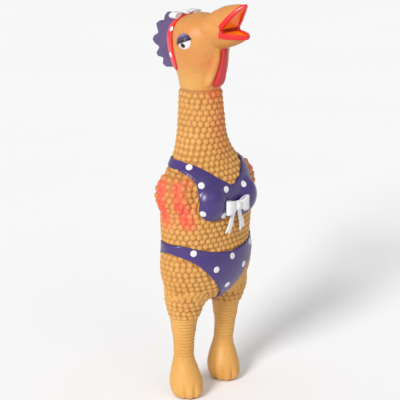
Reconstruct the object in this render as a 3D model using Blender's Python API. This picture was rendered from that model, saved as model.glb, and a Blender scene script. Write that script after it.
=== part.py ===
"""A standing squeaky rubber chicken: latex skins divided at their flex zones, moulded swimwear, a squeaker.

Lengths are in millimetres and become metres in make_object. +Z is up, the chicken faces -Y and its right is -X.
"""

import math

import bmesh
import bpy
from mathutils import Matrix, Vector

MM = 0.001

# The origin is on the ground below the middle of the bounding box, this far behind the torso's middle
ORIGIN_Y = 7.9

WALL = 2.0
GAP = 0.3
CLOTH = 1.8
WELD = 0.1
FLAT_ANGLE = math.radians(0.4)
SHARP_ANGLE = math.radians(38)
AROUND = 24
LEG_AROUND = 14

# height, half width, half depth to the front, half depth to the back, y of the centre
TORSO = (
    (108, 30, 14, 14, 0),
    (113, 44, 20, 20, 0),
    (120, 52, 26.5, 27, 0),
    (130, 57, 32, 33, 0),
    (142, 59, 35.5, 36.5, 0),
    (155, 59.5, 36.5, 37, 0),
    (171, 58, 34, 35, 0),
    (188, 58.5, 35, 36, 0),
    (205, 59, 37, 36.5, 0),
    (222, 59, 37.5, 37, 0),
    (236, 57.5, 36.5, 36, 0),
    (246, 53.5, 34.5, 34, 0.5),
    (253, 49, 32, 32.5, 1),
    (259, 43.5, 29.5, 31, 2),
    (265, 38, 27.5, 29.5, 3),
    (271, 33.5, 26.5, 28, 4),
    (278, 30, 26, 26.5, 5.5),
    (285, 27.5, 25.3, 25.3, 6.5),
)
NECK = (
    (265, 38, 27.5, 29.5, 3),
    (271, 33.5, 26.5, 28, 4),
    (278, 30, 26, 26.5, 5.5),
    (285, 27.5, 25.3, 25.3, 6.5),
    (293, 25.5, 24.6, 24.6, 7),
    (303, 24.2, 24.2, 24.2, 7.2),
    (316, 23.2, 23.2, 23.2, 7.8),
    (329, 22.4, 22.4, 22.4, 8.2),
    (338, 21.9, 21.9, 21.9, 8.4),
    (347, 22.8, 23.5, 24, 8.2),
)
HEAD = (
    (325, 22.6, 22.6, 22.6, 8.1),
    (338, 21.9, 21.9, 21.9, 8.4),
    (347, 22.8, 23.5, 24, 8.2),
    (356, 24.5, 25.5, 27.5, 8),
    (365, 27, 28, 32, 8),
    (375, 29, 30, 36.5, 8),
    (385, 30, 31, 39, 8),
    (394, 29.5, 31, 38.5, 8),
    (402, 26.5, 29, 33.5, 8),
    (408, 22, 25, 25.5, 8),
    (412.5, 15, 19, 15, 7),
    (415.5, 6, 9, 6.5, 5),
)
LEG_X = 34
THIGH = (
    (74, 13.2, 13.2, 13.2, 2),
    (83, 14, 14, 14, 2),
    (90, 14.9, 14.9, 14.9, 1.5),
    (97, 17.4, 17.4, 17.4, 1),
    (104, 19.6, 19.6, 19.6, 0.5),
    (111, 21.8, 21.8, 21.8, 0),
    (122, 22, 21, 21, 0),
    (133, 16, 15, 15, 0),
)
SHANK = (
    (40, 11.5, 11.5, 11.5, 2),
    (48, 10.9, 10.9, 10.9, 2),
    (55, 11.2, 11.2, 11.2, 2),
    (62, 11.4, 11.4, 11.4, 2),
    (69, 11.9, 11.9, 11.9, 2),
    (76, 13, 13, 13, 2),
    (83, 14, 14, 14, 2),
    (96, 16.4, 16.4, 16.4, 1.2),
)
FOOT = (
    (0, 11, 14.5, 10.5, -1),
    (2.5, 13.8, 17.5, 13.5, -1),
    (7, 16, 20, 16, -1),
    (13, 17.2, 20.5, 17, -0.5),
    (20, 17.2, 19.5, 17, 0),
    (27, 15.8, 17, 16, 0.5),
    (34, 14, 14.5, 14.5, 1),
    (41, 12, 12, 12.5, 1.6),
    (48, 10.9, 10.9, 10.9, 2),
    (56, 11.2, 11.2, 11.2, 2),
)
TOE_LOBES = 3
TOE_DEPTH = 1.4
TOES_BELOW = 16

# Flex axes: position of the axis across the plane of its cylinder, and the cylinder's radius
NECK_BEND = (7.0, 296, 27.5)
NECK_SWAY = (0.0, 324, 24.6)
HEAD_NOD = (8.4, 352, 23.6)
KNEE = (2.0, 79, 15.6)
ANKLE = (2.0, 40, 12.2)
JAW = (-13.0, 397, 18.0)
NOD_OPENING = math.radians(19)
MOUTH_CORNER_Z = 402.3

# Muzzle and beak sections: middle y and z, half width, then y and z of the ridge and of the keel
MUZZLE = (
    ((6, 396), 24, (6, 410), (6, 372)),
    ((-10, 399), 21.5, (-8, 417), (-12, 377)),
    ((-19, 400.5), 18.8, (-13, 420.4), (-19, 380)),
    ((-25, 401), 17.2, (-17.5, 422.5), (-24, 381.7)),
    ((-31, 401.5), 15.6, (-25, 426.3), (-31, 384)),
)
UPPER_BEAK = (
    ((-31.3, 402.6), 15.4, (-25.4, 426.5)),
    ((-34, 411), 13.2, (-31.5, 428.8)),
    ((-39, 419), 10.3, (-38.5, 430.6)),
    ((-45.5, 425), 7, (-45.5, 431.6)),
    ((-51.5, 428.2), 4, (-51.5, 431.8)),
    ((-56, 429.6), 1.6, (-56, 431.2)),
)
LOWER_BEAK = (
    ((-24, 401), 17.2, (-24, 381.7)),
    ((-31, 401), 15.6, (-31, 384)),
    ((-38, 400.8), 13.4, (-38, 386.6)),
    ((-45, 400.5), 10.6, (-45, 389.8)),
    ((-52, 400), 6.8, (-52, 393.6)),
    ((-58, 399), 2, (-58, 396.4)),
)
RIM_WIDTH = 4.6
RIM_PROUD = 0.5
LINING = 1.5
LINING_SAG = 0.3

CUP = ((24, -28, 223), (18, 13.5, 19))
TOP_OUTLINE = (
    (0, 239),
    (-16, 251),
    (-33, 268),
    (-47, 260),
    (-44.5, 250),
    (-44, 214),
    (-37, 206),
    (-26, 203),
    (-10, 206),
    (0, 209),
)
STRAP = (259.7, 268.3, -16)
BRIEFS_OUTLINE = (
    (0, 166),
    (-30, 169),
    (-62, 180),
    (-62, 168),
    (-46, 160),
    (-30, 144),
    (-14, 127),
    (-5, 117),
    (-5, 98),
)
CLOTHES_TILT = -0.06

FLANK = ((1, 222), (26, 37))
WING = ((47.5, 1, 230.5), (16.5, 24, 25.5))

COMB_PROFILE = (
    (30, 408),
    (40, 408),
    (47, 404),
    (52.8, 409),
    (57, 404),
    (58, 396.5),
    (64, 398.5),
    (69.5, 394.5),
    (66, 385),
    (73, 381),
    (75, 376.5),
    (71, 372.5),
    (64.5, 370),
    (69.5, 363),
    (67, 359.5),
    (59, 359),
    (60, 352),
    (55, 349.5),
    (43, 351),
    (34, 358),
)
COMB_HALF = 3.8
BAND = ((30.5, 412), (36.5, 357), 4.2, 1.6)

WATTLE_PROFILE = (
    (-14, 388),
    (-24, 380.5),
    (-31, 379.5),
    (-32.5, 375),
    (-30, 360),
    (-26, 347.5),
    (-22, 346.5),
    (-17, 352),
    (-10, 360),
)
WATTLE_HALF = 4.5

EYE = ((-22.5, 7, 389), (10.5, 10.2, 9.6))
LASH_LINE = ((17.5, 385.0), (-3, 393.4))
LID_PROUD = 0.9
PUPIL = ((8.4, 385.4), 2.5, 0.7)

HEAD_BOW = (0, 32.5, 411)
HEAD_LOOP = (9.5, 4.6, 4.2)
HEAD_KNOT = (3, 4.2, 3.4)
CHEST_BOW = (0, -44.5, 219)
CHEST_LOOP = (8, 3.4, 8)
CHEST_KNOT = (3, 3.2, 4.2)
SQUEAKER_Z = 198

COLOURS = {
    "latex_skin": ((0.72, 0.42, 0.19), 0.45),
    "wing_pink": ((0.80, 0.20, 0.12), 0.45),
    "purple_rubber": ((0.09, 0.05, 0.22), 0.4),
    "comb_purple": ((0.16, 0.12, 0.27), 0.45),
    "red_rubber": ((0.80, 0.03, 0.03), 0.35),
    "wattle_red": ((0.55, 0.03, 0.04), 0.4),
    "mouth_orange": ((0.90, 0.17, 0.01), 0.35),
    "white_rubber": ((0.75, 0.74, 0.74), 0.4),
    "eye_white": ((0.82, 0.80, 0.80), 0.3),
    "eye_black": ((0.01, 0.01, 0.01), 0.3),
    "squeaker_plastic": ((0.70, 0.70, 0.68), 0.35),
}


def clear_scene():
    for found in list(bpy.data.objects):
        bpy.data.objects.remove(found, do_unlink=True)


def material(name):
    found = bpy.data.materials.get(name)
    if found:
        return found
    colour, roughness = COLOURS[name]
    made = bpy.data.materials.new(name)
    made.use_nodes = True
    shader = made.node_tree.nodes["Principled BSDF"]
    shader.inputs["Base Color"].default_value = (*colour, 1)
    shader.inputs["Roughness"].default_value = roughness
    return made


def make_object(name, points, faces, look=None):
    mesh = bpy.data.meshes.new(name)
    mesh.from_pydata([Vector(point) * MM for point in points], [], faces)
    edit = bmesh.new()
    edit.from_mesh(mesh)
    bmesh.ops.triangulate(edit, faces=edit.faces)
    bmesh.ops.recalc_face_normals(edit, faces=edit.faces)
    edit.to_mesh(mesh)
    edit.free()
    made = bpy.data.objects.new(name, mesh)
    bpy.context.scene.collection.objects.link(made)
    if look:
        mesh.materials.append(material(look))
    return made


def loft(name, rings, look=None):
    """Closes the skin through rings that hold equal numbers of points, with a flat face on each end."""
    count = len(rings[0])
    points = [point for ring in rings for point in ring]
    faces = []
    for k in range(len(rings) - 1):
        for i in range(count):
            j = (i + 1) % count
            faces.append((k * count + i, k * count + j, (k + 1) * count + j, (k + 1) * count + i))
    last = (len(rings) - 1) * count
    faces.append(tuple(range(count)))
    faces.append(tuple(range(last, last + count)))
    return make_object(name, points, faces, look)


def oval(section, grow=0.0, count=AROUND, x=0.0):
    height, half_width, front, back, y = section
    ring = []
    for k in range(count):
        turn = 2 * math.pi * (k + 0.5) / count
        depth = front if math.sin(turn) < 0 else back
        ring.append(
            (
                x + (half_width + grow) * math.cos(turn),
                y + (depth + grow) * math.sin(turn),
                height,
            )
        )
    return ring


def body_of_revolution(name, sections, grow=0.0, count=AROUND, x=0.0, ends=0.0):
    """An oval loft grown outwards by grow, whose end rings also move apart by ends."""
    sections = [list(section) for section in sections]
    sections[0][0] -= ends
    sections[-1][0] += ends
    return loft(name, [oval(section, grow, count, x) for section in sections])


def prism(name, outline, place, low, high):
    """Extrudes a flat outline. place turns an outline point and a depth into a position."""
    rings = [[place(u, v, depth) for u, v in outline] for depth in (low, high)]
    return loft(name, rings)


def along_x(u, v, depth):
    return (depth, u, v)


def along_y(u, v, depth):
    return (u, depth, v)


def along_z(u, v, depth):
    return (u, v, depth)


def circle(centre, radius, count=28):
    turns = [2 * math.pi * (k + 0.37) / count for k in range(count)]
    return [(centre[0] + radius * math.cos(t), centre[1] + radius * math.sin(t)) for t in turns]


def ellipsoid(name, centre, radii, columns=20, rows=10, look=None):
    made = make_object(name, [], [], look)
    edit = bmesh.new()
    size = Matrix.Diagonal((*[radius * MM for radius in radii], 1))
    place = Matrix.Translation(Vector(centre) * MM)
    bmesh.ops.create_uvsphere(
        edit, u_segments=columns, v_segments=rows, radius=1, matrix=place @ size
    )
    edit.to_mesh(made.data)
    edit.free()
    return made


def combine(target, tool, operation, keep_tool=False):
    """Applies one exact Boolean to target and, unless told otherwise, removes the tool."""
    modifier = target.modifiers.new(operation, "BOOLEAN")
    modifier.operation = operation
    modifier.solver = "EXACT"
    modifier.object = tool
    bpy.context.view_layer.update()
    graph = bpy.context.evaluated_depsgraph_get()
    result = bpy.data.meshes.new_from_object(target.evaluated_get(graph))
    target.modifiers.clear()
    target.data = result
    if not keep_tool:
        bpy.data.objects.remove(tool, do_unlink=True)
    return target


def cut(target, tool, keep_tool=False):
    return combine(target, tool, "DIFFERENCE", keep_tool)


def keep_within(target, tool, keep_tool=False):
    return combine(target, tool, "INTERSECT", keep_tool)


def join(target, tool, keep_tool=False):
    return combine(target, tool, "UNION", keep_tool)


def tidy(mesh):
    """Welds the slivers that Booleans leave, merges flat neighbours, then splits faces into triangles."""
    edit = bmesh.new()
    edit.from_mesh(mesh)
    bmesh.ops.remove_doubles(edit, verts=edit.verts, dist=WELD * MM)
    bmesh.ops.dissolve_degenerate(edit, edges=edit.edges, dist=WELD * MM / 4)
    bmesh.ops.dissolve_limit(
        edit, angle_limit=FLAT_ANGLE, verts=edit.verts, edges=edit.edges, use_dissolve_boundaries=False
    )
    bmesh.ops.triangulate(edit, faces=edit.faces)
    edit.to_mesh(mesh)
    edit.free()


def finish(target, name, look):
    tidy(target.data)
    target.data.transform(Matrix.Translation((0, -ORIGIN_Y * MM, 0)))
    target.name = name
    target.data.name = name
    target.data.materials.clear()
    target.data.materials.append(material(look))
    target.data.shade_smooth()
    target.data.set_sharp_from_angle(angle=SHARP_ANGLE)
    return target


def box(name, low, high):
    outline = ((low[0], low[1]), (high[0], low[1]), (high[0], high[1]), (low[0], high[1]))
    return prism(name, outline, along_z, low[2], high[2])


def hinge_bore(axis, radius_extra, beyond, place=along_x, reach=80, x=0.0, opening=0.0):
    """The cylinder of a flex zone and the space on one side of its axis, as far as the height beyond.

    An opening drops both edges of that space by this angle.
    """
    y, z, radius = axis
    radius += radius_extra
    drum = prism("drum", circle((y, z), radius), place, x - reach, x + reach)
    edge = z - 90 * math.tan(opening)
    outline = ((y, z), (y + 90, edge), (y + 90, beyond), (y - 90, beyond), (y - 90, edge))
    return join(drum, prism("beyond", outline, place, x - reach - 1, x + reach + 1))


def torso_outer(grow=0.0):
    trunk = body_of_revolution("trunk", TORSO, grow, ends=max(grow, 0))
    for side in (-1, 1):
        thigh = body_of_revolution("thigh", THIGH, grow, LEG_AROUND, side * LEG_X, ends=0)
        join(trunk, thigh)
    return trunk


def torso_inner():
    """The air space of the torso, which runs out through the neck and through both legs."""
    sections = [(z, a - WALL, f - WALL, b - WALL, y) for z, a, f, b, y in TORSO]
    sections[0] = (TORSO[0][0] + WALL, *sections[0][1:])
    sections.append((290, 24.5, 22.8, 22.8, 6.8))
    space = loft("space", [oval(section) for section in sections])
    for side in (-1, 1):
        legs = [(z, a - WALL, f - WALL, b - WALL, y) for z, a, f, b, y in THIGH]
        legs[0] = (legs[0][0] - 3, *legs[0][1:])
        join(space, loft("leg_space", [oval(leg, 0, LEG_AROUND, side * LEG_X) for leg in legs]))
    return space


def flank_prism(side, grow):
    (y, z), (half_width, half_height) = FLANK
    outline = [
        (y + (half_width + grow) * math.cos(t), z + (half_height + grow) * math.sin(t))
        for t in (2 * math.pi * (k + 0.5) / 28 for k in range(28))
    ]
    return prism("flank", outline, along_x, *sorted((side * 30, side * 75)))


def torso():
    shell = torso_outer()
    cut(shell, torso_inner())
    collar = prism("collar", circle((0, SQUEAKER_Z), 11.5, 24), along_y, 26, 35.5)
    join(shell, collar)
    cut(shell, prism("socket", circle((0, SQUEAKER_Z), 8 + GAP, 24), along_y, 20, 45))
    cut(shell, hinge_bore(NECK_BEND, GAP, 340))
    for side in (-1, 1):
        shell = cut(shell, flank_prism(side, GAP))
        bore = hinge_bore(KNEE, GAP, 20, reach=25, x=side * LEG_X)
        cut(shell, bore)
    return finish(shell, "torso_shell", "latex_skin")


def flanks():
    for side, word in ((-1, "right"), (1, "left")):
        panel = body_of_revolution("panel", TORSO)
        cut(panel, torso_inner())
        keep_within(panel, flank_prism(side, 0))
        finish(panel, f"{word}_flank", "latex_skin")
        (x, y, z), radii = WING
        wing = ellipsoid("wing", (side * x, y, z), radii, 18, 11)
        cut(wing, body_of_revolution("trunk", TORSO, GAP))
        outline = [(u * 1.07, v) for u, v in clothing_outline(TOP_OUTLINE)]
        cut(wing, prism("top", outline, along_y, -80, -1))
        keep_within(wing, flank_prism(side, 0))
        finish(wing, f"{word}_wing", "wing_pink")


def tube(name, sections, count=AROUND, x=0.0):
    """An open ended hollow loft."""
    shell = body_of_revolution(name, sections, 0, count, x)
    inner = [[z, a - WALL, f - WALL, b - WALL, y] for z, a, f, b, y in sections]
    inner[0][0] -= 5
    inner[-1][0] += 5
    return cut(shell, loft("bore", [oval(section, 0, count, x) for section in inner]))


def neck():
    lower = tube("lower", NECK)
    keep_within(lower, hinge_bore(NECK_BEND, 0, 380))
    cut(lower, hinge_bore(NECK_SWAY, GAP, 380, along_y))
    finish(lower, "neck_lower", "latex_skin")
    upper = tube("upper", NECK)
    keep_within(upper, hinge_bore(NECK_SWAY, 0, 380, along_y))
    cut(upper, hinge_bore(HEAD_NOD, GAP, 400, opening=NOD_OPENING))
    finish(upper, "neck_upper", "latex_skin")


def loop_section(section, grow=0.0, count=28):
    """A closed muzzle section: an arc over the ridge and an arc under the keel, which meet at the sides."""
    (y, z), half_width, ridge, keel = section
    ring = []
    for k in range(count):
        turn = 2 * math.pi * k / count
        apex = ridge if math.sin(turn) > 0 else keel
        reach = math.hypot(apex[0] - y, apex[1] - z)
        share = abs(math.sin(turn)) * (reach + grow) / reach
        ring.append(
            (
                (half_width + grow) * math.cos(turn),
                y + (apex[0] - y) * share,
                z + (apex[1] - z) * share,
            )
        )
    return ring


def head_outer(grow=0.0):
    skull = body_of_revolution("skull", HEAD, grow, ends=max(grow, 0))
    muzzle = loft("muzzle", [loop_section(section, grow) for section in MUZZLE])
    return join(skull, muzzle)


def head_inner():
    sections = [[z, a - WALL, f - WALL, b - WALL, y] for z, a, f, b, y in HEAD[:-1]]
    sections[0][0] -= 8
    space = loft("space", [oval(section) for section in sections])
    rings = [loop_section(section, -WALL) for section in MUZZLE]
    rings[-1] = [(x, y - 4, z + 1) for x, y, z in rings[-1]]
    return join(space, loft("throat", rings))


def jaw_cutter():
    """The space before the jaw cylinder and below the mouth corners, with room for the jaw to swing."""
    y, z, radius = JAW
    front = box("front", (-40, -80, 372), (40, -24, 430))
    join(front, prism("swing", circle((y, z), radius + 3, 32), along_x, -41, 41))
    keep_within(front, box("low", (-42, -90, 360), (42, -14.3, MOUTH_CORNER_Z)))
    return cut(front, prism("drum", circle((y, z), radius, 32), along_x, -60, 60))


def head():
    shell = head_outer()
    cut(shell, head_inner())
    keep_within(shell, hinge_bore(HEAD_NOD, 0, 480))
    cut(shell, jaw_cutter())
    finish(shell, "head_shell", "latex_skin")


def arc_point(section, turn, inset):
    """A point on a beak section, inset from its outside. Turn 0 and pi are the two edges of the beak."""
    (y, z), half_width, apex = section
    reach = math.hypot(apex[0] - y, apex[1] - z)
    share = math.sin(turn) * max(reach - inset, 0.3) / reach
    width = max(half_width - inset, 0.3)
    return Vector((width * math.cos(turn), y + (apex[0] - y) * share, z + (apex[1] - z) * share))


def beak_strip(name, sections, first, last, outside, inside, steps=8):
    """A strip of the beak between two turns, given for each section, with its inset outside and inside."""
    rings = []
    for k, section in enumerate(sections):
        turns = [first[k] + (last[k] - first[k]) * i / steps for i in range(steps + 1)]
        outer = [arc_point(section, turn, outside) for turn in turns]
        inner = [arc_point(section, turn, inside) for turn in reversed(turns)]
        rings.append(outer + inner)
    return loft(name, rings)


def rim_turn(section, width):
    """The turn at which the arc has climbed this far from its edge."""
    (y, z), half_width, apex = section
    reach = math.hypot(apex[0] - y, apex[1] - z)
    return min(width / math.hypot(half_width * 0.35, reach), 1.35)


def beak_half(word, sections, behind=None):
    """One half of the beak, trimmed clear of what is behind: latex shell, red rim and orange lining."""
    edge = [rim_turn(section, RIM_WIDTH) for section in sections]
    start = [turn + GAP / section[1] * 1.3 for turn, section in zip(edge, sections)]
    body = sections[:-1]
    shell = beak_strip(
        "shell", body, start, [math.pi - turn for turn in start], 0, WALL, steps=14
    )
    trim(shell, behind)
    finish(shell, f"{word}_beak", "latex_skin")
    none = [0.0] * len(sections)
    rim = beak_strip("rim", sections, none, edge, -RIM_PROUD, WALL + 0.6, steps=4)
    other = beak_strip(
        "rim",
        sections,
        [math.pi - turn for turn in edge],
        [math.pi] * len(sections),
        -RIM_PROUD,
        WALL + 0.6,
        steps=4,
    )
    join(rim, other)
    cap = beak_strip(
        "cap", tip_of(sections), [0, 0, 0], [math.pi] * 3, -RIM_PROUD - 0.12, 6, steps=10
    )
    join(rim, cap)
    trim(rim, behind)
    finish(rim, f"{word}_beak_rim", "red_rubber")
    inside = lining(sections)
    trim(inside, behind)
    finish(inside, f"{word}_mouth_lining", "mouth_orange")


def trim(piece, behind):
    if behind:
        cut(piece, behind, keep_tool=True)


def jaw_drum():
    y, z, radius = JAW
    drum = prism("drum", circle((y, z), radius + GAP, 32), along_x, -60, 60)
    return join(drum, box("behind", (-40, y, 360), (40, 20, 420)))


def between(one, other, share):
    if isinstance(one, tuple):
        return tuple(between(a, b, share) for a, b in zip(one, other))
    return one + (other - one) * share


def tip_of(sections):
    """The rounded end of a beak half, from just behind its last section to one small section past it."""
    (y, z), half_width, apex = sections[-1]
    nose = ((y - 1.2, z + 0.2), half_width * 0.55, (apex[0] - 1.2, z + (apex[1] - z) * 0.6))
    return [between(sections[-2], sections[-1], 0.55), sections[-1], nose]


def lining(sections):
    rings = []
    for section in sections[:-2]:
        (y, z), half_width, apex = section
        width = max(half_width - WALL - 0.6 - GAP, 0.5)
        sag = (apex[0] - y) * LINING_SAG, (apex[1] - z) * LINING_SAG
        deep = math.hypot(*sag)
        outer = []
        inner = []
        for i in range(11):
            turn = math.pi * i / 10
            rise = math.sin(turn)
            lift = 0.35 + 0.65 * rise
            outer.append(
                (
                    width * math.cos(turn),
                    y + sag[0] * lift * (1 + LINING / deep),
                    z + sag[1] * lift * (1 + LINING / deep),
                )
            )
            inner.append((width * math.cos(turn), y + sag[0] * lift, z + sag[1] * lift))
        rings.append(outer + inner[::-1])
    return loft("lining", rings)


def beak():
    beak_half("upper", UPPER_BEAK)
    drum = jaw_drum()
    beak_half("lower", LOWER_BEAK, drum)
    bpy.data.objects.remove(drum, do_unlink=True)


def comb():
    plate = prism("plate", COMB_PROFILE, along_x, -COMB_HALF, COMB_HALF)
    cut(plate, body_of_revolution("skull", HEAD, GAP, ends=GAP))
    finish(plate, "comb", "comb_purple")


def headband():
    (y_top, z_top), (y_low, z_low), half, thick = BAND
    outline = (
        (y_top - half, z_top + 14),
        (y_top + half, z_top + 14),
        (y_low + half, z_low - 4.5),
        (y_low - half, z_low - 4.5),
    )
    band = body_of_revolution("band", HEAD, thick, ends=thick)
    cut(band, body_of_revolution("skull", HEAD, GAP, ends=GAP))
    keep_within(band, prism("slab", outline, along_x, -60, 60))
    cut(band, body_around_comb())
    finish(band, "headband", "red_rubber")


def body_around_comb():
    middle = Vector((50, 380))
    grown = []
    for point in COMB_PROFILE:
        out = Vector(point) - middle
        grown.append(tuple(middle + out * (1 + 2 * GAP / out.length)))
    return prism("around", grown, along_x, -COMB_HALF - GAP, COMB_HALF + GAP)


def wattle():
    plate = prism("plate", WATTLE_PROFILE, along_x, -WATTLE_HALF, WATTLE_HALF)
    cut(plate, head_outer(GAP))
    y, z, radius = JAW
    cut(plate, prism("sweep", circle((y, z), radius + 5), along_x, -60, 60))
    finish(plate, "wattle", "wattle_red")


def eyes():
    (x, y, z), radii = EYE
    for side, word in ((-1, "right"), (1, "left")):
        at = (side * abs(x), y, z)
        ball = ellipsoid("ball", at, radii, 18, 11)
        lid = ellipsoid("lid", at, [radius + LID_PROUD for radius in radii], 18, 11)
        (back_y, back_z), (front_y, front_z) = LASH_LINE
        slope = (front_z - back_z) / (front_y - back_y)
        reach = 25
        low_back = back_z + slope * reach
        low_front = front_z - slope * reach
        over = ((back_y + reach, low_back), (front_y - reach, low_front), (front_y - reach, 440))
        over += ((back_y + reach, 440),)
        under = [(u, v - GAP if v < 440 else v) for u, v in over]
        keep_within(lid, prism("over", over, along_x, -60, 60))
        cut(ball, prism("under", under, along_x, -60, 60))
        cut(lid, head_outer(GAP))
        cut(ball, head_outer(GAP))
        spot = ellipsoid("spot", at, [radius + PUPIL[2] for radius in radii], 18, 11)
        reach_x = sorted((side * 15, side * 60))
        keep_within(spot, prism("post", circle(PUPIL[0], PUPIL[1], 20), along_x, *reach_x))
        cut(spot, ellipsoid("inside", at, [radius + 0.1 for radius in radii], 18, 11))
        cut(spot, prism("lid_edge", under, along_x, -60, 60))
        finish(ball, f"{word}_eyeball", "eye_white")
        finish(lid, f"{word}_eyelid", "comb_purple")
        finish(spot, f"{word}_pupil", "eye_black")


def bow_loop(side, centre, loop, knot, grow=0.0):
    x, y, z = centre
    at = (x + side * (knot[0] + GAP + loop[0] * 0.9), y, z)
    return ellipsoid("petal", at, [radius + grow for radius in loop], 12, 8)


def bow(prefix, centre, loop, knot, folded=False):
    """Two loops and a knot. Folded loops have an open eye."""
    x, y, z = centre
    half_length, half_depth, half_height = loop
    for side, word in ((-1, "right"), (1, "left")):
        petal = bow_loop(side, centre, loop, knot)
        if folded:
            eye = (x + side * (knot[0] + GAP + half_length * 1.05), y, z)
            inside = (half_length * 0.55, half_depth * 3, half_height * 0.38)
            cut(petal, ellipsoid("eye", eye, inside, 10, 6))
        reach = sorted((x + side * (knot[0] + GAP), x + side * 60))
        keep_within(petal, box("side", (reach[0], y - 30, z - 40), (reach[1], y + 30, z + 40)))
        seat(petal, folded)
        finish(petal, f"{prefix}_loop_{word}", "white_rubber")
    middle = box("knot", (x - knot[0], y - knot[1], z - knot[2]), (x + knot[0], y + knot[1], z + knot[2]))
    bevel(middle, min(knot) * 0.45)
    seat(middle, folded)
    finish(middle, f"{prefix}_knot", "white_rubber")


def seat(piece, on_chest):
    """Trims a bow piece where it would sink into what it sits on."""
    if on_chest:
        cut(piece, body_of_revolution("trunk", TORSO, GAP))
        return
    cut(piece, body_of_revolution("skull", HEAD, BAND[3] + GAP, ends=BAND[3] + GAP))
    cut(piece, body_around_comb())


def bevel(target, width):
    """Rounds every edge of a simple block."""
    edit = bmesh.new()
    edit.from_mesh(target.data)
    bmesh.ops.bevel(
        edit, geom=list(edit.edges), offset=width * MM, segments=2, profile=0.5, affect="EDGES"
    )
    edit.to_mesh(target.data)
    edit.free()
    return target


def clothing_outline(outline):
    """Both halves of a mirrored outline, sloped as the swimwear sits on the body."""
    other = [(-x, z) for x, z in reversed(outline) if x]
    return [(x, z + CLOTHES_TILT * x) for x, z in [*outline, *other]]


def swimwear():
    top = body_of_revolution("top", TORSO, CLOTH)
    region = prism("front", clothing_outline(TOP_OUTLINE), along_y, -80, -1.3)
    low, high, start = STRAP
    join(region, box("slab", (-81, start, low), (81, 81, high)))
    keep_within(top, region)
    (x, y, z), radii = CUP
    for side in (-1, 1):
        cup = ellipsoid("cup", (side * x, y, z + CLOTHES_TILT * side * x), radii, 18, 11)
        join(top, cup)
    cut(top, body_of_revolution("trunk", TORSO, GAP))
    cut(top, hinge_bore(NECK_BEND, GAP, 340))
    finish(top, "bikini_top", "purple_rubber")
    bottom = torso_outer(CLOTH)
    keep_within(bottom, prism("briefs", clothing_outline(BRIEFS_OUTLINE), along_y, -80, 80))
    cut(bottom, torso_outer(GAP))
    finish(bottom, "bikini_bottom", "purple_rubber")


def bow_tails():
    x, y, z = CHEST_BOW
    for side, word in ((-1, "right"), (1, "left")):
        outline = (
            (x + side * 0.6, z - 4.6),
            (x + side * 5.0, z - 4.6),
            (x + side * 14.5, z - 29),
            (x + side * 10.5, z - 27),
            (x + side * 8.5, z - 32),
        )
        strap = prism("tail", outline, along_y, y + 0.5, y + 3.0)
        cut(strap, bow_loop(side, CHEST_BOW, CHEST_LOOP, CHEST_KNOT, GAP))
        finish(strap, f"chest_bow_tail_{word}", "white_rubber")


def legs():
    for side, word in ((-1, "right"), (1, "left")):
        x = side * LEG_X
        shank = tube("shank", SHANK, LEG_AROUND, x)
        keep_within(shank, hinge_bore(KNEE, 0, -20, reach=25, x=x))
        cut(shank, hinge_bore(ANKLE, GAP, -20, reach=25, x=x))
        finish(shank, f"{word}_shank", "latex_skin")
        foot = loft("foot", [toed(section, x) for section in FOOT])
        inner = [[z, a - WALL, f - WALL, b - WALL, y] for z, a, f, b, y in FOOT]
        inner[0][0] += WALL
        inner[-1][0] += 6
        cut(foot, loft("bore", [oval(section, -TOE_DEPTH, LEG_AROUND, x) for section in inner]))
        keep_within(foot, hinge_bore(ANKLE, 0, -20, reach=25, x=x))
        finish(foot, f"{word}_foot", "latex_skin")


def toed(section, x, count=22):
    """A foot section whose front is waved into toes near the ground."""
    ring = oval(section, 0, count, x)
    centre_y = section[4]
    deep = TOE_DEPTH * max(0.0, 1 - section[0] / TOES_BELOW)
    waved = []
    for px, py, pz in ring:
        turn = math.atan2(py - centre_y, px - x)
        facing = max(0.0, -math.sin(turn))
        groove = 0.5 + 0.5 * math.cos(2 * TOE_LOBES * (turn + math.pi / 2) + math.pi)
        pull = 1 - deep * facing * groove / math.hypot(px - x, py - centre_y)
        waved.append((x + (px - x) * pull, centre_y + (py - centre_y) * pull, pz))
    return waved


def squeaker():
    """A plastic whistle pressed into the moulded socket in the back: housing, reed frame and reed."""
    back = 36.9
    housing = prism("housing", circle((0, SQUEAKER_Z), 8, 24), along_y, 25, back)
    cut(housing, prism("bore", circle((0, SQUEAKER_Z), 6.4, 24), along_y, 15, back - 1.5))
    cut(housing, prism("vent", circle((0, SQUEAKER_Z), 1.4, 12), along_y, 15, 50))
    finish(housing, "squeaker_housing", "squeaker_plastic")
    frame = prism("frame", circle((0, SQUEAKER_Z), 6.1, 24), along_y, 28, 31)
    cut(frame, box("slot", (-2.2, 15, SQUEAKER_Z - 3.4), (2.2, 50, SQUEAKER_Z + 3.4)))
    finish(frame, "squeaker_reed_frame", "squeaker_plastic")
    low = (-1.9, 31 + GAP, SQUEAKER_Z - 4.6)
    reed = box("reed", low, (1.9, 31 + GAP + 0.4, SQUEAKER_Z + 3.2))
    finish(reed, "squeaker_reed", "squeaker_plastic")


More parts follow.
